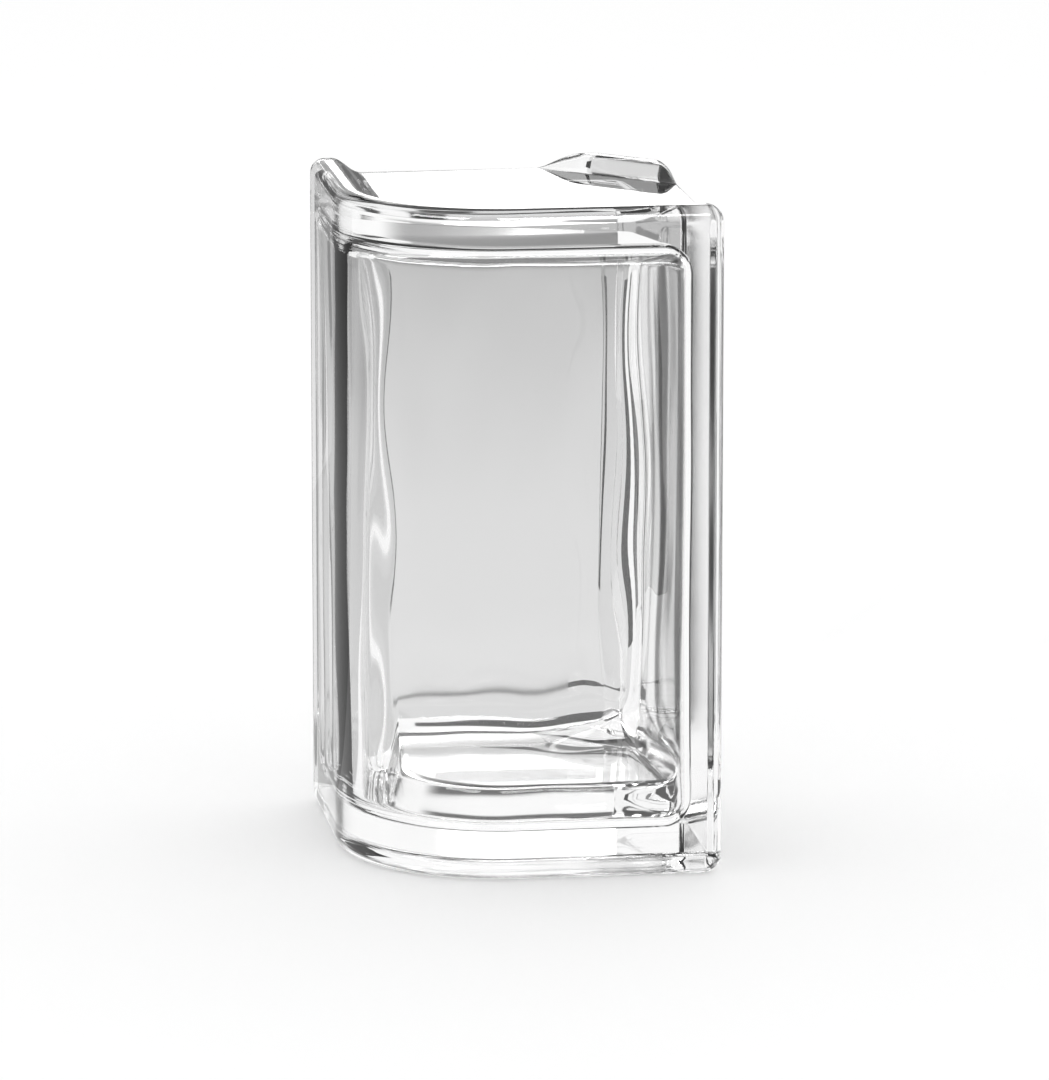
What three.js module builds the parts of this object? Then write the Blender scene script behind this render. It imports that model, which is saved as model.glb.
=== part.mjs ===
// Hollow glass block for a 90 degree wall corner. Two pressed glass dishes are fused along a flat seam:
// the deep outer one wraps round the corner, and the shallow inner one closes it behind with a narrow
// flat face. Millimetres, +Z up. The block is symmetric about the plane x = 0, its rounded corner faces
// -Y and its narrow inner face +Y. The origin is at the middle of the footprint, on the floor.
import * as THREE from 'three';

// Driving dimensions
const height = 190; // over the rims, top to bottom
const leg = 104; // each outer face, from the sharp corner to the rim at its mortar end
const wallDepth = 80; // depth of the wall that the block is laid in
const cornerRadius = 47; // outer face, round the corner
const faceThickness = 9; // outer face plate
const backThickness = 7.5; // inner face plate, at least
const rimThickness = 6; // edge of the outer face plate
const rimCornerRadius = 5; // corners of both face plates, seen from the front
const edgeRadius = 4; // pressed round edge of the outer rim
const innerRimThickness = 6; // edge of the inner face plate
const innerEdgeRadius = 3; // round edge of the inner rim
const innerEdgeRelief = 1; // rounding of the inner face's two upright edges
const grooveDepth = 4.5; // mortar groove in the top and bottom, below the rims
const endGrooveDepth = 3; // recess of the mortar ends, behind the outer rim
const shoulderLength = 8.5; // slope from the outer rim down into the groove
const innerShoulderLength = 7; // slope from the inner rim down into the groove
const seamSetback = 22; // fused seam, from the inner face
const hollowSide = 6.5; // hollow's side behind the face plate, from the rim's edge
const sideDraft = 0.096; // leaning in of the mortar walls towards the inner face, per unit of depth
const ceilingInset = 12; // hollow's ceiling behind the face plate, from the top
const narrowCeilingInset = 16; // hollow's ceiling near the inner face, from the top
const ledgeRise = 11; // rise of the floor from its trough behind the face plate
const narrowLedgeRise = 12; // floor near the inner face, above the ceiling's mirror image
const ledgeLength = 5; // slope from the trough up to the floor
const floorSwell = 1.25; // height of the floor's swelling half-way from front to back
const frontFillet = 7; // hollow, where its sides meet the outer plate
const backFillet = 5; // hollow, where its floor and ceiling meet the inner plate
const hollowCornerRadius = 9; // hollow, corners near the outer plate
const narrowCornerRun = 5.2; // hollow, width of its corners near the inner plate
const narrowCornerRise = 8; // hollow, height of its corners near the inner plate
const hollowBackCorner = 1.5; // corners of the narrow flat at the back
const hollowBackRadius = 4; // hollow, from each mortar wall round to the narrow flat
const hollowBackWidth = 3; // narrow flat at the back of the hollow, at least

// Facets
const arcSteps = 12; // half of the corner radius
const cornerSteps = 5;
const filletSteps = 6;
const edgeSteps = 4;
const shoulderSteps = 6;
const ledgeSteps = 6;
const wallSteps = 6;
const backWallSteps = 2;

// Derived places. Plan axes: u runs along the right-hand leg and v along the left-hand one, both from
// the sharp corner at which the outer faces would meet. Depth is measured from there along +Y.
const quarter = Math.PI / 2;
const apexDepth = cornerRadius * (Math.SQRT2 - 1);
const backDepth = (leg + wallDepth) * Math.SQRT1_2;
const centreDepth = (apexDepth + backDepth) / 2;
const seamDepth = backDepth - seamSetback;
const ledgeDepth = faceThickness + frontFillet + ledgeLength;
const ledgeSide = hollowSide + sideDraft * (ledgeDepth - faceThickness);
const mortarEndDepth = (leg - ledgeSide + ledgeDepth) * Math.SQRT1_2;
const mortarEndReach = (leg - ledgeSide - ledgeDepth) * Math.SQRT1_2;
const wallTurn = quarter / 2 - Math.atan(sideDraft);
const backRounding = hollowBackRadius * (1 - Math.cos(wallTurn));
const narrowReach = hollowBackWidth / 2 + hollowBackRadius * Math.sin(wallTurn);
const narrowDepth = mortarEndDepth + (mortarEndReach - narrowReach) * Math.tan(wallTurn);
const wallEndDepth = Math.min(narrowDepth, backDepth - backThickness - backRounding);
const wallEndReach = mortarEndReach - (wallEndDepth - mortarEndDepth) / Math.tan(wallTurn);

// One run of a ring goes from the middle of the block to its right-hand mortar end. Each step holds how
// far it is round the corner arc, along the straight leg, and round the ring's own corner.
const runSteps = fractions(arcSteps).map((arc) => ({ arc, turn: 0, onLeg: false }));
runSteps.push(...fractions(cornerSteps).map((t) => ({ arc: 1, turn: t * quarter, onLeg: true })));

function fractions(count) {
  return Array.from({ length: count + 1 }, (_, i) => i / count);
}

// Share of a quarter round that is left to go inwards, and share that is gone along it.
const curlAt = (t) => 1 - Math.sin(t * quarter);
const gainAt = (t) => 1 - Math.cos(t * quarter);
const dipAt = (t) => (1 - Math.cos(t * Math.PI)) / 2;

// Point of a ring that lies at an even distance behind the outer face.
function facePoint(step, { depth, side, corner }) {
  if (!step.onLeg) {
    const angle = (quarter / 2) * (1 + step.arc);
    const radius = cornerRadius - depth;
    return { u: cornerRadius - radius * Math.cos(angle), v: cornerRadius - radius * Math.sin(angle) };
  }
  return { u: leg - side - corner * (1 - Math.sin(step.turn)), v: depth };
}

// Point of a flat ring across the block at one depth, from the middle out to its reach.
function crossPoint(step, { depth, reach, corner }) {
  const arcShare = (cornerRadius * quarter) / 2;
  const share = arcShare / (arcShare + leg - cornerRadius);
  const x = step.onLeg ? reach - corner * (1 - Math.sin(step.turn)) : (reach - corner) * share * step.arc;
  return { u: (depth + x) * Math.SQRT1_2, v: (depth - x) * Math.SQRT1_2 };
}

// A ring is a closed loop round the block: over the top from left to right and back under the bottom.
// Its underside mirrors its top, moved up by the lift.
function ring(pointAt, form) {
  const right = runSteps.map((step) => {
    const { u, v } = pointAt(step, form);
    const rise = form.rise ?? form.corner;
    return { u, v, drop: form.top + rise * (1 - Math.cos(step.turn)) };
  });
  const left = right.slice(1).reverse().map(({ u, v, drop }) => ({ u: v, v: u, drop }));
  const top = [...left, ...right].map(({ u, v, drop }) => new THREE.Vector3(
    (u - v) * Math.SQRT1_2,
    (u + v) * Math.SQRT1_2 - centreDepth,
    height - drop,
  ));
  const lift = form.lift ?? 0;
  const bottom = top.map((p) => new THREE.Vector3(p.x, p.y, height - p.z + lift)).reverse();
  return [...top, ...bottom];
}

const faceRing = (form) => ring(facePoint, form);
const crossRing = (form) => ring(crossPoint, form);

// Half-width of the block at one depth, between flats that lie inside the mortar ends.
const reachAt = (depth, side) => (leg - side) * Math.SQRT2 - depth;

// Ring round the outside, in the mortar groove at the seam.
function grooveRing(depth) {
  const reach = reachAt(depth, endGrooveDepth);
  return crossRing({ depth, reach, top: grooveDepth, corner: rimCornerRadius - grooveDepth });
}

// Rings of the hollow's front: a fillet behind the face plate, and the slope up to the floor.
function frontRings() {
  const fillet = fractions(filletSteps).map((t) => {
    const curl = frontFillet * curlAt(t);
    const gain = frontFillet * gainAt(t);
    return faceRing({
      depth: faceThickness + gain,
      side: hollowSide + sideDraft * gain + curl,
      top: ceilingInset + curl,
      corner: hollowCornerRadius - curl,
    });
  });
  const slope = fractions(ledgeSteps).slice(1).map((t) => faceRing({
    depth: faceThickness + frontFillet + ledgeLength * t,
    side: hollowSide + sideDraft * (frontFillet + ledgeLength * t),
    top: ceilingInset,
    corner: hollowCornerRadius,
    lift: ledgeRise * dipAt(t),
  }));
  return [...fillet, ...slope];
}

// Rings of the hollow's back, where its mortar walls round into the narrow flat.
function backRings() {
  return fractions(filletSteps).map((t) => {
    const turn = wallTurn * (1 - t);
    const curl = gainAt(t);
    return crossRing({
      depth: wallEndDepth + hollowBackRadius * (Math.cos(turn) - Math.cos(wallTurn)),
      reach: wallEndReach - hollowBackRadius * (Math.sin(wallTurn) - Math.sin(turn)),
      top: narrowCeilingInset + backFillet * curl,
      corner: narrowCornerRun + (hollowBackCorner - narrowCornerRun) * curl,
      rise: narrowCornerRise + (hollowBackCorner - narrowCornerRise) * curl,
      lift: narrowLedgeRise,
    });
  });
}

// Rings of the hollow between its front or its back and the seam. They lie on straight lines from the
// front to the back, and the floor swells a little above these.
function wallRings(count, fromBack) {
  const front = frontRings().at(-1);
  const back = backRings()[0];
  const seam = seamDepth - centreDepth;
  const middle = height / 2;
  return fractions(count).slice(1).map((part) => front.map((p, i) => {
    const atSeam = (seam - p.y) / (back[i].y - p.y);
    const t = fromBack ? 1 + (atSeam - 1) * part : atSeam * part;
    const point = p.clone().lerp(back[i], t);
    const floorShare = (middle - point.z) / (middle - ceilingInset - ledgeRise);
    const swell = floorSwell * Math.sin(t * Math.PI);
    point.z += swell * THREE.MathUtils.clamp(floorShare, 0, 1);
    return point;
  }));
}

// Rings of the outer dish's outside, from its face plate to the seam.
function outerDishOutside() {
  const edge = fractions(edgeSteps).map((t) => {
    const inset = edgeRadius * curlAt(t);
    const corner = rimCornerRadius - inset;
    return faceRing({ depth: edgeRadius * gainAt(t), side: inset, top: inset, corner });
  });
  const shoulder = fractions(shoulderSteps).map((t) => {
    const top = grooveDepth * dipAt(t);
    const side = endGrooveDepth * dipAt(t);
    return faceRing({ depth: rimThickness + shoulderLength * t, side, top, corner: rimCornerRadius - top });
  });
  return [...edge, ...shoulder, grooveRing(seamDepth)];
}

// Rings of the inner dish's outside, from its face plate to the seam.
function innerDishOutside() {
  const edge = fractions(edgeSteps).map((t) => {
    const inset = innerEdgeRadius * curlAt(t);
    const depth = backDepth - innerEdgeRadius * gainAt(t);
    const reach = reachAt(depth, endGrooveDepth) - innerEdgeRelief * curlAt(t);
    return crossRing({ depth, reach, top: inset, corner: rimCornerRadius - inset });
  });
  const shoulder = fractions(shoulderSteps).map((t) => {
    const top = grooveDepth * dipAt(t);
    const depth = backDepth - innerRimThickness - innerShoulderLength * t;
    return crossRing({ depth, reach: reachAt(depth, endGrooveDepth), top, corner: rimCornerRadius - top });
  });
  return [...edge, ...shoulder, grooveRing(seamDepth)];
}

// Closed dish: face plate, outside, flat seam, hollow and the back of the face plate.
function dishGeometry(outside, inside, facesForward) {
  const rings = [...outside, ...inside.reverse()];
  const size = rings[0].length;
  const half = size / 2;
  const positions = rings.flat().flatMap((p) => [p.x, p.y, p.z]);
  const triangles = [];
  const quad = (a, b, c, d) => triangles.push(a, b, c, a, c, d);
  for (let r = 0; r + 1 < rings.length; r += 1) {
    for (let i = 0; i < size; i += 1) {
      const next = (i + 1) % size;
      quad(r * size + i, r * size + next, (r + 1) * size + next, (r + 1) * size + i);
    }
  }
  const last = (rings.length - 1) * size;
  for (let i = 0; i + 1 < half; i += 1) {
    quad(size - 1 - i, size - 2 - i, i + 1, i);
    quad(last + i, last + i + 1, last + size - 2 - i, last + size - 1 - i);
  }
  if (!facesForward) triangles.reverse();
  const geometry = new THREE.BufferGeometry();
  geometry.setAttribute('position', new THREE.Float32BufferAttribute(positions, 3));
  geometry.setIndex(triangles);
  geometry.computeVertexNormals();
  return geometry;
}

function dish(name, geometry) {
  const glass = new THREE.MeshStandardMaterial({
    color: 0xe9eeee, roughness: 0.03, metalness: 0, transparent: true, opacity: 0.35,
  });
  const mesh = new THREE.Mesh(geometry, glass);
  mesh.name = name;
  return mesh;
}

const block = new THREE.Group();
const outerHollow = [...frontRings(), ...wallRings(wallSteps, false)];
const innerHollow = [...backRings().reverse(), ...wallRings(backWallSteps, true)];
block.add(dish('outer_dish', dishGeometry(outerDishOutside(), outerHollow, true)));
block.add(dish('inner_dish', dishGeometry(innerDishOutside(), innerHollow, false)));

export default block;
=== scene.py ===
"""Hollow glass block for a 90 degree wall corner, seen from in front of its right-hand leg.

The block's two pressed dishes are fused into one body of glass, so one piece stands for both of them:
its outside is a closed skin and the sealed hollow is a second skin that faces inwards.

Clear glass shows only what stands round it. So the block stands in a white studio, among grey sheets,
black cards and softboxes that nothing but the glass sees. They draw its edges, fillets and corners.
The grey sheets on the table are painted shade, and the black lines on the table are painted shadow.
Metres, +Z up, unless a comment says otherwise.
"""

import math

import bmesh
import bpy
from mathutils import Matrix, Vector, noise


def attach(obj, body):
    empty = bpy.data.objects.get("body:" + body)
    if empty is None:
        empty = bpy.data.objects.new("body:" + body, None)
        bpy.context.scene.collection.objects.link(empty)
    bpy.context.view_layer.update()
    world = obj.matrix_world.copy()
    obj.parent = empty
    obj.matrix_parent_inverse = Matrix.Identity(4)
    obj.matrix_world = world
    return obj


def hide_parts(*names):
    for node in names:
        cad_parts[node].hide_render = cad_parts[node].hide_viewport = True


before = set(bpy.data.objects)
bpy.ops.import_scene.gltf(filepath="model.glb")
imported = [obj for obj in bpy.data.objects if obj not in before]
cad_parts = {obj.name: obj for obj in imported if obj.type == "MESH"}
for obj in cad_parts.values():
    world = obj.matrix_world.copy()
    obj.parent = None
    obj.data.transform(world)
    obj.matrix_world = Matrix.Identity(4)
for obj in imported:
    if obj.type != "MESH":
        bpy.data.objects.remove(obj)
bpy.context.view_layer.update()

MM = 0.001
QUARTER = math.pi / 2
DIAGONAL = math.sqrt(0.5)

# Outside of the block, in millimetres
HEIGHT = 190
LEG = 104  # each outer face, from the sharp corner to the rim at its mortar end
WALL_DEPTH = 80
CORNER_RADIUS = 47
RIM_THICKNESS = 6
RIM_CORNER = 5  # corners of both face plates, seen from the front
EDGE_RADIUS = 4
GROOVE_DEPTH = 4.5  # mortar groove in the top and bottom, below the rims
END_GROOVE_DEPTH = 3  # recess of the mortar ends
SHOULDER_LENGTH = 8.5  # slope from the outer rim down into the groove
BACK_RIM_THICKNESS = 6
BACK_EDGE_RADIUS = 3
BACK_EDGE_RELIEF = 1
BACK_SHOULDER_LENGTH = 7

# Sealed hollow, in millimetres
FACE_THICKNESS = 9
BACK_THICKNESS = 6.8
HOLLOW_SIDE = 7.2  # behind the face plate, from the rim's edge
SIDE_DRAFT = 0.096  # leaning in of the mortar walls, per unit of depth
CEILING_INSET = 12
NARROW_CEILING_INSET = 16  # near the inner face
LEDGE_RISE = 11  # of the floor, from its trough behind the face plate
NARROW_LEDGE_RISE = 12  # of the floor near the inner face, above the ceiling's mirror image
LEDGE_LENGTH = 5
FLOOR_SAG = 5  # takes the slope out of the floor's front part
FLOOR_LEVEL_SHARE = 0.6  # of the floor's depth, before it turns up to the back
FRONT_FILLET = 6
HOLLOW_CORNER = 8
NARROW_CORNER = 5.2
NARROW_CORNER_RISE = 8
BACK_FILLET = 5
BACK_CORNER = 1.5
BACK_RADIUS = 8  # from each mortar wall round to the narrow flat

# Plan depths behind the sharp corner at which the outer faces would meet
APEX_DEPTH = CORNER_RADIUS * (math.sqrt(2) - 1)
BACK_DEPTH = (LEG + WALL_DEPTH) * DIAGONAL
CENTRE_DEPTH = (APEX_DEPTH + BACK_DEPTH) / 2

# Facets
ARC_STEPS = 24
LEG_STEPS = 14
CORNER_STEPS = 10
FILLET_STEPS = 14
LEDGE_STEPS = 12
BACK_STEPS = 12
WALL_STEPS = 20
EDGE_STEPS = 8
SHOULDER_STEPS = 10
SIDE_ROWS = 48
HOLD = 0.25  # support row beside each flat, which keeps its shading flat
MERGE_DISTANCE = 1e-7
LYING = 0.5  # upward share of a normal, over which a face is the groove's top or bottom

# Slow waves that pressing leaves in the hollow's upright walls, in millimetres
RIPPLE_DEPTH = 0.5
RIPPLE_ACROSS = 14
RIPPLE_UP = 45

# Glass, nearly colourless, because its tint counts again at every face that light passes
GLASS_TINT = "#fdfdfd"
GLASS_IOR = 1.52
KEYED_ROUGHNESS = 0.12

# Camera, 8.1 degrees off square to the right-hand leg. Its aim is given as for seen().
VIEW_TURN = math.radians(45 - 8.1)
VIEW_RISE = math.radians(11.9)
VIEW_DISTANCE = 2.2
AIM = (0.0008, 0.0024, 0.0863)
SENSOR_WIDTH = 36
LENS = 258

# Table, and the tent round it. The tent's levels go by the upward share of the direction from the block.
TABLE_SIZE = 6
TABLE_WHITE = "#fdfdfd"
TABLE_ROUGHNESS = 0.9
TENT_RADIUS = 2.9
TENT_FACETS = 96
REAR_SHADE = (0.85, 0.93)  # cosines of the bearings where plain white gives way to the rear levels
REAR_LEVELS = (
    (0, 0.22),
    (0.12, 0.28),
    (0.2, 0.5),
    (0.24, 1),
    (0.42, 1),
    (0.45, 0.04),
    (0.6, 0.04),
    (0.66, 1),
)

# Painted shade: the grey sheets stand in for the table's shade as the glass sees it, darker farther from the
# block.
# Grey sheets on the table behind the block, each between two bearings in degrees from straight behind.
# Their levels go by distance, as a share of the tent's radius.
SHEET_LIFT = 0.001
SHEET_START = 0.088
SHEET_STEPS = 24
PAINTED_SHADE_SHEETS = (
    (
        "pale_strip",
        (-20, 20),
        ((0.04, 0.7), (0.085, 0.75), (0.1, 0.72), (0.16, 0.7), (0.32, 0.5), (0.6, 0.38), (1, 0.3)),
    ),
    ("grey_left_sheet", (-62, -20), ((0.07, 0.62), (0.2, 0.55), (0.32, 0.33), (1, 0.3))),
)

# Black flags behind the block: each one's left and right edge, and the distance and the edges at which
# the card on the table that leads up to it begins
CARD_LIFT = 2 * SHEET_LIFT
FLAG_DISTANCE = 0.45
FLAG_HEIGHT = 0.09
FLAG_LEVEL = 0.02
FLAGS = (
    ("left", (-0.165, -0.128), 0.3, (-0.103, -0.08)),
    ("right", (0.1, 0.165), 0.25, (0.05, 0.1)),
    ("far_right", (0.26, 0.34), 0.25, (0.16, 0.21)),
)

# Painted shadow: dark lines across the table, seen only by the glass, for the block's shadow under and
# behind its foot: level, then each end's nearest and farthest distance and its place across
PAINTED_SHADOW_LINES = (
    ("far", 0.05, (0.162, 0.170, -0.055), (0.186, 0.196, 0.03)),
    ("middle", 0.02, (0.062, 0.070, -0.03), (0.068, 0.098, 0.034)),
    ("near", 0.02, (0.040, 0.041, -0.01), (0.034, 0.047, 0.045)),
    ("under", 0.02, (-0.006, 0.010, -0.024), (0.004, 0.018, 0.022)),
)

# Softboxes: bearing from the camera's side and rise in degrees, width, height and level
SOFTBOX_DISTANCE = 2.0
SOFTBOXES = (
    ("right", 18, 45, 0.9, 0.5, 15),
    ("left", -47, 45, 1.2, 0.5, 15),
    ("rear", 180, 14.7, 1.0, 0.08, 3),
)


def fractions(count):
    return [i / count for i in range(count + 1)]


# Steps of a ring from the middle of the block to its right-hand mortar end
RUN = [("arc", t) for t in fractions(ARC_STEPS)]
RUN += [("leg", t) for t in fractions(LEG_STEPS)[1:-1]]
RUN += [("turn", t * QUARTER) for t in fractions(CORNER_STEPS)]


def face_point(step, depth, inset, corner):
    """Plan place and drop of a ring point at an even distance behind the outer face."""
    part, t = step
    if part == "arc":
        angle = QUARTER / 2 * (1 + t)
        radius = CORNER_RADIUS - depth
        return CORNER_RADIUS - radius * math.cos(angle), CORNER_RADIUS - radius * math.sin(angle), 0
    end = LEG - inset - corner
    if part == "leg":
        return CORNER_RADIUS + (end - CORNER_RADIUS) * t, depth, 0
    return end + corner * math.sin(t), depth, corner * (1 - math.cos(t))


def cross_point(step, depth, reach, run, rise):
    """Plan place and drop of a point of a ring that lies square across the block at one depth."""
    part, t = step
    straight = reach - run
    arc_share = CORNER_RADIUS * QUARTER / 2
    share = arc_share / (arc_share + LEG - CORNER_RADIUS)
    drop = 0
    if part == "arc":
        x = straight * share * t
    elif part == "leg":
        x = straight * (share + (1 - share) * t)
    else:
        x = straight + run * math.sin(t)
        drop = rise * (1 - math.cos(t))
    return (depth + x) * DIAGONAL, (depth - x) * DIAGONAL, drop


def ring(place, top_inset, lift=0):
    """Closed loop round the block: along the top, down the right, back along the bottom, up the left."""
    right = []
    for step in RUN:
        u, v, drop = place(step)
        right.append((u, v, drop + top_inset))
    left = [(v, u, drop) for u, v, drop in reversed(right[1:])]
    top = [
        Vector(((u - v) * DIAGONAL, (u + v) * DIAGONAL - CENTRE_DEPTH, HEIGHT - drop))
        for u, v, drop in left + right
    ]
    bottom = [Vector((p.x, p.y, HEIGHT - p.z + lift)) for p in top]
    inner_rows = fractions(SIDE_ROWS)[1:-1]
    down = [top[-1].lerp(bottom[-1], t) for t in inner_rows]
    up = [bottom[0].lerp(top[0], t) for t in inner_rows]
    return top + down + bottom[::-1] + up


def face_ring(depth, inset, corner, top_inset=None):
    """Ring that follows the outer face, with its ends square to the legs."""
    top_inset = inset if top_inset is None else top_inset
    return ring(lambda step: face_point(step, depth, inset, corner), top_inset)


def cross_ring(depth, reach, run, rise, top_inset, lift=0):
    """Ring that lies square across the block."""
    return ring(lambda step: cross_point(step, depth, reach, run, rise), top_inset, lift)


def back_rim_ring(depth, inset, relief=0, side_inset=END_GROOVE_DEPTH):
    """Ring round the outside near the inner face, its ends in the plane of the mortar ends."""
    reach = (LEG - side_inset) * math.sqrt(2) - depth - relief
    corner = RIM_CORNER - min(inset, GROOVE_DEPTH)
    return cross_ring(depth, reach, corner, corner, inset)


def front_rim():
    """The outer face plate, its pressed round edge and its rim."""
    rings = [face_ring(0, EDGE_RADIUS + HOLD, RIM_CORNER - EDGE_RADIUS)]
    for t in fractions(EDGE_STEPS):
        inset = EDGE_RADIUS * (1 - math.sin(t * QUARTER))
        rings.append(face_ring(EDGE_RADIUS * (1 - math.cos(t * QUARTER)), inset, RIM_CORNER - inset))
    rings.append(face_ring(EDGE_RADIUS + HOLD, 0, RIM_CORNER))
    rings.append(face_ring(RIM_THICKNESS - HOLD, 0, RIM_CORNER))
    return rings


def mortar_groove():
    """From the outer rim down into the groove, and up again to the inner rim."""
    rings = []
    for t in fractions(SHOULDER_STEPS):
        dip = (1 - math.cos(t * math.pi)) / 2
        depth = RIM_THICKNESS + SHOULDER_LENGTH * t
        inset = GROOVE_DEPTH * dip
        rings.append(face_ring(depth, END_GROOVE_DEPTH * dip, RIM_CORNER - inset, inset))
    corner = RIM_CORNER - GROOVE_DEPTH
    rings.append(face_ring(RIM_THICKNESS + SHOULDER_LENGTH + HOLD, END_GROOVE_DEPTH, corner, GROOVE_DEPTH))
    back_foot = BACK_DEPTH - BACK_RIM_THICKNESS - BACK_SHOULDER_LENGTH
    rings.append(back_rim_ring(back_foot - HOLD, GROOVE_DEPTH))
    for t in fractions(SHOULDER_STEPS):
        inset = GROOVE_DEPTH * (1 + math.cos(t * math.pi)) / 2
        rings.append(back_rim_ring(back_foot + BACK_SHOULDER_LENGTH * t, inset))
    return rings


def back_rim():
    """The inner rim and its round edge, in to the narrow inner face."""
    rings = [back_rim_ring(BACK_DEPTH - BACK_RIM_THICKNESS + HOLD, 0)]
    rings.append(back_rim_ring(BACK_DEPTH - BACK_EDGE_RADIUS - HOLD, 0))
    for t in fractions(EDGE_STEPS):
        curl = 1 - math.cos(t * QUARTER)
        depth = BACK_DEPTH - BACK_EDGE_RADIUS * (1 - math.sin(t * QUARTER))
        rings.append(back_rim_ring(depth, BACK_EDGE_RADIUS * curl, BACK_EDGE_RELIEF * curl))
    side = END_GROOVE_DEPTH + HOLD
    rings.append(back_rim_ring(BACK_DEPTH, BACK_EDGE_RADIUS + HOLD, BACK_EDGE_RELIEF, side))
    return rings


def hollow_face_ring(gain, curl, lift=0):
    """Ring of the hollow, further behind the face plate by the gain and further in by the curl."""
    depth = FACE_THICKNESS + gain
    side = HOLLOW_SIDE + SIDE_DRAFT * gain + curl
    corner = HOLLOW_CORNER - curl
    return ring(lambda step: face_point(step, depth, side, corner), CEILING_INSET + curl, lift)


def hollow_front():
    """A fillet behind the outer face plate, and the slope up to the floor."""
    rings = []
    for t in fractions(FILLET_STEPS):
        curl = FRONT_FILLET * (1 - math.sin(t * QUARTER))
        gain = FRONT_FILLET * (1 - math.cos(t * QUARTER))
        rings.append(hollow_face_ring(gain, curl))
    for t in fractions(LEDGE_STEPS)[1:]:
        gain = FRONT_FILLET + LEDGE_LENGTH * t
        rings.append(hollow_face_ring(gain, 0, LEDGE_RISE * (1 - math.cos(t * math.pi)) / 2))
    return rings


def hollow_back():
    """Where the mortar walls round into the narrow flat behind the inner face plate."""
    rings = []
    start = FACE_THICKNESS + FRONT_FILLET + LEDGE_LENGTH
    side = LEG - HOLLOW_SIDE - SIDE_DRAFT * (start - FACE_THICKNESS)
    wall_turn = QUARTER / 2 - math.atan(SIDE_DRAFT)
    wall_end = BACK_DEPTH - BACK_THICKNESS - BACK_RADIUS * (1 - math.cos(wall_turn))
    wall_reach = (side - start) * DIAGONAL - (wall_end - (side + start) * DIAGONAL) / math.tan(wall_turn)
    for t in fractions(BACK_STEPS):
        turn = wall_turn * (1 - t)
        curl = 1 - math.cos(t * QUARTER)
        depth = wall_end + BACK_RADIUS * (math.cos(turn) - math.cos(wall_turn))
        reach = wall_reach - BACK_RADIUS * (math.sin(wall_turn) - math.sin(turn))
        run = NARROW_CORNER + (BACK_CORNER - NARROW_CORNER) * curl
        rise = NARROW_CORNER_RISE + (BACK_CORNER - NARROW_CORNER_RISE) * curl
        inset = NARROW_CEILING_INSET + BACK_FILLET * curl
        rings.append(cross_ring(depth, reach, run, rise, inset, NARROW_LEDGE_RISE))
    return rings


def floor_share(z):
    """How far a point of the hollow follows its floor."""
    return min(max((HEIGHT / 2 - z) / (HEIGHT / 2 - CEILING_INSET - LEDGE_RISE), 0), 1)


def hollow_rings():
    """The hollow from front to back, with a floor that is level at first and then turns up."""
    front = hollow_front()
    back = hollow_back()
    walls = []
    for t in fractions(WALL_STEPS)[1:-1]:
        upturn = max((t - FLOOR_LEVEL_SHARE) / (1 - FLOOR_LEVEL_SHARE), 0) ** 2
        rise = Vector((0, 0, -FLOOR_SAG * (t - upturn)))
        wall = [a.lerp(b, t) for a, b in zip(front[-1], back[0])]
        walls.append([p + rise * floor_share(p.z) for p in wall])
    return front + walls + back


def end_plate(bm, loop, forward):
    """Flat grid that closes one end of a skin. A forward one faces the way the outer face does."""
    side = SIDE_ROWS - 1
    half = len(loop) // 2 - side
    top = loop[:half]
    down = loop[half:half + side]
    bottom = loop[half + side:2 * half + side][::-1]
    up = loop[2 * half + side:][::-1]
    rows = [top]
    for t, left, right in zip(fractions(SIDE_ROWS)[1:-1], up, down):
        inner = [bm.verts.new(a.co.lerp(b.co, t)) for a, b in zip(top[1:-1], bottom[1:-1])]
        rows.append([left] + inner + [right])
    rows.append(bottom)
    for upper, lower in zip(rows, rows[1:]):
        for i in range(half - 1):
            quad = (upper[i], upper[i + 1], lower[i + 1], lower[i])
            bm.faces.new(tuple(reversed(quad)) if forward else quad)


def loft(bm, rings, keyed=()):
    """Closed skin over the rings. The keyed strips between them get the second material."""
    loops = [[bm.verts.new(p * MM) for p in points] for points in rings]
    size = len(loops[0])
    for strip, (near, far) in enumerate(zip(loops, loops[1:])):
        for i in range(size):
            j = (i + 1) % size
            face = bm.faces.new((near[i], near[j], far[j], far[i]))
            face.material_index = int(strip in keyed)
    end_plate(bm, loops[0], True)
    end_plate(bm, loops[-1], False)


def ripple(vertices):
    """Slow waves on upright walls, which fade out towards the floor and the ceiling."""
    for vertex in vertices:
        x, y, z = vertex.co / MM
        wave = noise.noise((x / RIPPLE_ACROSS, y / RIPPLE_ACROSS, z / RIPPLE_UP))
        upright = 1 - abs(vertex.normal.z)
        vertex.co += vertex.normal * (wave * upright * RIPPLE_DEPTH * MM)


def linear(hex_colour):
    """Linear light of an sRGB colour written as #rrggbb."""
    channels = [int(hex_colour[i:i + 2], 16) / 255 for i in (1, 3, 5)]
    return [c / 12.92 if c <= 0.04045 else ((c + 0.055) / 1.055) ** 2.4 for c in channels] + [1]


def add(tree, kind, inputs=(), operation=None):
    """One shader node, with its inputs linked from sockets or set to values."""
    node = tree.nodes.new(kind)
    if operation:
        node.operation = operation
    for key, value in enumerate(inputs):
        if isinstance(value, bpy.types.NodeSocket):
            tree.links.new(value, node.inputs[key])
        elif value is not None:
            node.inputs[key].default_value = value
    return node


def new_material(name):
    material = bpy.data.materials.new(name)
    material.use_nodes = True
    return material


def pressed_glass(name, roughness):
    """Clear soda-lime glass, which bends what stands behind it and mirrors what stands round it."""
    material = new_material(name)
    shader = material.node_tree.nodes["Principled BSDF"]
    shader.inputs["Base Color"].default_value = linear(GLASS_TINT)
    shader.inputs["Transmission Weight"].default_value = 1
    shader.inputs["Roughness"].default_value = roughness
    shader.inputs["IOR"].default_value = GLASS_IOR
    return material


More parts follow.
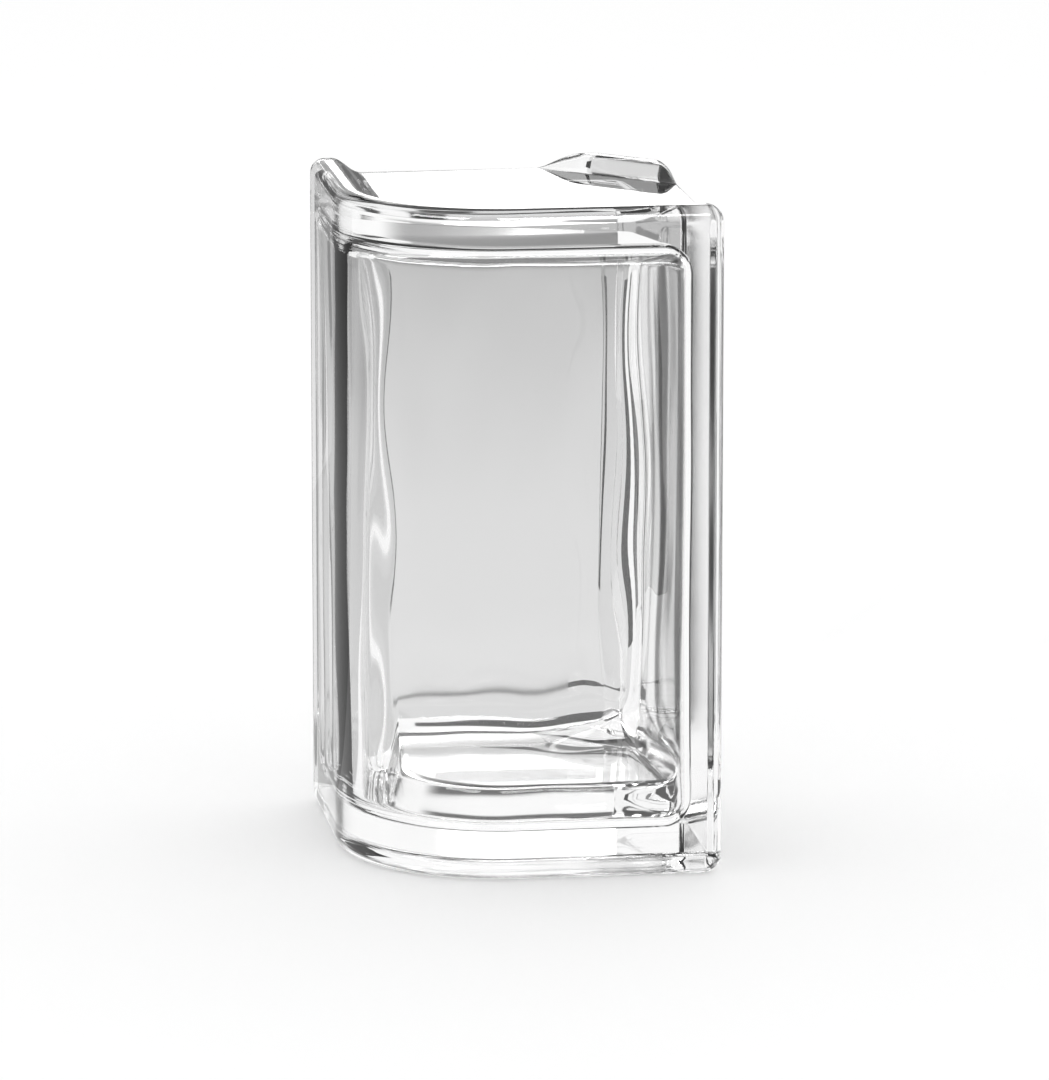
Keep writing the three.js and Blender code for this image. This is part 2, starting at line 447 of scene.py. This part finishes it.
def object_from(name, bm):
    """Object in the scene whose mesh is the bmesh, which is freed."""
    mesh = bpy.data.meshes.new(name)
    bm.to_mesh(mesh)
    bm.free()
    thing = bpy.data.objects.new(name, mesh)
    bpy.context.collection.objects.link(thing)
    return thing


def glass_block():
    """Both skins of the fused block, with satin glass on the outside of its mortar ends alone."""
    bm = bmesh.new()
    front = front_rim()
    groove = mortar_groove()
    keyed = range(len(front), len(front) + len(groove) - 1)
    loft(bm, front + groove + back_rim(), keyed)
    outside = set(bm.faces)
    loft(bm, hollow_rings())
    hollow = [f for f in bm.faces if f not in outside]
    bmesh.ops.reverse_faces(bm, faces=hollow)
    bmesh.ops.remove_doubles(bm, verts=bm.verts, dist=MERGE_DISTANCE)
    bm.normal_update()
    for face in outside:
        if abs(face.normal.z) > LYING:
            face.material_index = 0
    outer_verts = {v for f in bm.faces if f in outside for v in f.verts}
    ripple([v for v in bm.verts if v not in outer_verts])
    bm.normal_update()
    block = object_from("glass_block", bm)
    for polygon in block.data.polygons:
        polygon.use_smooth = True
    # Fire-polished after pressing, so the plates, rims and groove are glossy and clear as water
    block.data.materials.append(pressed_glass("pressed_glass_fire_polished", 0))
    # Left as it comes from the mould where mortar grips it: a touch of satin that softens what shows through
    block.data.materials.append(pressed_glass("pressed_glass_keyed_for_mortar", KEYED_ROUGHNESS))
    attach(block, "root")
    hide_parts("outer_dish", "inner_dish")


def seen(forward, across, z=0):
    """Point of the set from its distance behind the block's middle, and to the right of it."""
    ahead = Vector((-math.sin(VIEW_TURN), math.cos(VIEW_TURN), 0))
    right = Vector((math.cos(VIEW_TURN), math.sin(VIEW_TURN), 0))
    return ahead * forward + right * across + Vector((0, 0, z))


def white_world():
    surroundings = bpy.data.worlds.new("studio")
    bpy.context.scene.world = surroundings
    surroundings.use_nodes = True
    background = surroundings.node_tree.nodes["Background"]
    background.inputs["Color"].default_value = (1, 1, 1, 1)
    background.inputs["Strength"].default_value = 1


def table():
    """White table that keeps the block's shadow, and that glass sees as plain white."""
    bpy.ops.mesh.primitive_plane_add(size=TABLE_SIZE)
    plane = bpy.context.object
    plane.name = "studio_floor"
    # Painted board without gloss: it takes a soft shadow and mirrors nothing
    material = new_material("matt_white_board")
    tree = material.node_tree
    shader = tree.nodes["Principled BSDF"]
    shader.inputs["Base Color"].default_value = linear(TABLE_WHITE)
    shader.inputs["Roughness"].default_value = TABLE_ROUGHNESS
    path = add(tree, "ShaderNodeLightPath").outputs
    mirrored = (path["Is Glossy Ray"], path["Is Transmission Ray"])
    through = add(tree, "ShaderNodeMath", mirrored, "MAXIMUM").outputs[0]
    glow = add(tree, "ShaderNodeEmission", (None, 1)).outputs[0]
    mixed = add(tree, "ShaderNodeMixShader", (through, shader.outputs[0], glow)).outputs[0]
    tree.links.new(mixed, tree.nodes["Material Output"].inputs[0])
    plane.data.materials.append(material)


def bare_material(name):
    """Material with no nodes yet, for gear that only glows."""
    material = new_material(name)
    material.node_tree.nodes.clear()
    return material


def studio_gear(thing, material, level):
    """Makes a thing of the studio glow at a level, for the glass alone."""
    tree = material.node_tree
    glow = add(tree, "ShaderNodeEmission", (None, level)).outputs[0]
    add(tree, "ShaderNodeOutputMaterial", (glow,))
    thing.data.materials.append(material)
    thing.visible_camera = False
    thing.visible_diffuse = False
    thing.visible_shadow = False


def ramp(tree, value, stops):
    """Grey level along the stops, given as pairs of place and level."""
    node = add(tree, "ShaderNodeValToRGB", (value,))
    elements = node.color_ramp.elements
    for place, level in stops[1:-1]:
        elements.new(place)
    for element, (place, level) in zip(elements, stops):
        element.position = place
        element.color = (level, level, level, 1)
    return node.outputs[0]


def tent_level(tree):
    """White all round, with the rear levels behind the block."""
    place = add(tree, "ShaderNodeTexCoord").outputs["Object"]
    away = add(tree, "ShaderNodeVectorMath", (place,), "NORMALIZE").outputs[0]
    flat = add(tree, "ShaderNodeVectorMath", (away, (1, 1, 0)), "MULTIPLY").outputs[0]
    bearing = add(tree, "ShaderNodeVectorMath", (flat,), "NORMALIZE").outputs[0]
    forward = add(tree, "ShaderNodeVectorMath", (bearing, seen(1, 0)), "DOT_PRODUCT").outputs["Value"]
    behind = add(tree, "ShaderNodeMapRange", (forward, *REAR_SHADE, 0, 1))
    behind.interpolation_type = "SMOOTHSTEP"
    height = add(tree, "ShaderNodeSeparateXYZ", (away,)).outputs["Z"]
    rear = ramp(tree, height, REAR_LEVELS)
    return add(tree, "ShaderNodeMapRange", (behind.outputs[0], 0, 1, 1, rear)).outputs[0]


def tent():
    """Cloth dome, lit from outside: white, but grey near the table behind, under a black band."""
    facets = {"segments": TENT_FACETS, "ring_count": TENT_FACETS // 2}
    bpy.ops.mesh.primitive_uv_sphere_add(radius=TENT_RADIUS, **facets)
    dome = bpy.context.object
    dome.name = "studio_tent"
    for polygon in dome.data.polygons:
        polygon.use_smooth = True
    cloth = bare_material("tent_cloth")
    studio_gear(dome, cloth, tent_level(cloth.node_tree))


def painted_shade_sheet(name, edges, stops):
    """Painted shade: a grey sheet on the table, seen only by the glass, which darkens with distance."""
    start, end = [math.radians(edge) for edge in edges]
    turns = [start + (end - start) * t for t in fractions(SHEET_STEPS)]
    bm = bmesh.new()
    near, far = [
        [bm.verts.new(seen(d * math.cos(turn), d * math.sin(turn), SHEET_LIFT)) for turn in turns]
        for d in (SHEET_START, TENT_RADIUS)
    ]
    for k in range(SHEET_STEPS):
        bm.faces.new((near[k], near[k + 1], far[k + 1], far[k]))
    shade_material = bare_material(name)
    tree = shade_material.node_tree
    place = add(tree, "ShaderNodeTexCoord").outputs["Object"]
    distance = add(tree, "ShaderNodeVectorMath", (place,), "LENGTH").outputs["Value"]
    share = add(tree, "ShaderNodeMath", (distance, TENT_RADIUS), "DIVIDE").outputs[0]
    studio_gear(object_from(name, bm), shade_material, ramp(tree, share, stops))


def black_card(name, corners, level):
    """Flat card that draws a dark line or edge in the glass: a flag, or a painted shadow on the table."""
    bm = bmesh.new()
    bm.faces.new([bm.verts.new(seen(*corner)) for corner in corners])
    studio_gear(object_from(name, bm), bare_material(name), level)


def black_flag(side, edges, foot_distance, foot_edges):
    """Standing flag, and the card on the table that leads up to it."""
    low = [(FLAG_DISTANCE, edge) for edge in edges]
    high = [(FLAG_DISTANCE, edge, FLAG_HEIGHT) for edge in reversed(edges)]
    black_card("black_flag_" + side, low + high, FLAG_LEVEL)
    foot = [(foot_distance, edge, CARD_LIFT) for edge in foot_edges]
    foot += [(FLAG_DISTANCE, edge, CARD_LIFT) for edge in reversed(edges)]
    black_card("black_foot_" + side, foot, FLAG_LEVEL)


def painted_shadow_line(name, level, left_end, right_end):
    """Painted shadow: a dark line across the table, seen only by the glass, which its ends may make wider or
    narrower.
    """
    near_left, far_left, left = left_end
    near_right, far_right, right = right_end
    corners = ((near_left, left), (near_right, right), (far_right, right), (far_left, left))
    black_card("painted_table_shadow_" + name, [(*corner, CARD_LIFT) for corner in corners], level)


def softbox(side, bearing, rise, wide, tall, level):
    """Lit panel aimed at the block, which draws the glints of its pressed edges."""
    bpy.ops.mesh.primitive_plane_add(size=1)
    lamp = bpy.context.object
    lamp.name = "softbox_" + side
    turn = math.radians(bearing)
    lean = math.radians(rise)
    away = seen(-math.cos(turn) * math.cos(lean), math.sin(turn) * math.cos(lean), math.sin(lean))
    lamp.location = away * SOFTBOX_DISTANCE
    lamp.rotation_euler = away.to_track_quat("Z", "Y").to_euler()
    lamp.scale = (wide, tall, 1)
    studio_gear(lamp, bare_material(lamp.name), level)


def camera():
    data = bpy.data.cameras.new("camera")
    data.sensor_width = SENSOR_WIDTH
    data.lens = LENS
    eye = bpy.data.objects.new("camera", data)
    bpy.context.collection.objects.link(eye)
    back = seen(-math.cos(VIEW_RISE), 0, math.sin(VIEW_RISE))
    eye.location = seen(*AIM) + back * VIEW_DISTANCE
    eye.rotation_euler = back.to_track_quat("Z", "Y").to_euler()
    bpy.context.scene.camera = eye


glass_block()
table()
white_world()
tent()
# Painted shade of the table, which only the glass sees
for sheet in PAINTED_SHADE_SHEETS:
    painted_shade_sheet(*sheet)
for flag in FLAGS:
    black_flag(*flag)
# Painted shadow of the block on the table, which only the glass sees
for line in PAINTED_SHADOW_LINES:
    painted_shadow_line(*line)
for box in SOFTBOXES:
    softbox(*box)
camera()
bpy.context.scene.view_settings.view_transform = "Standard"
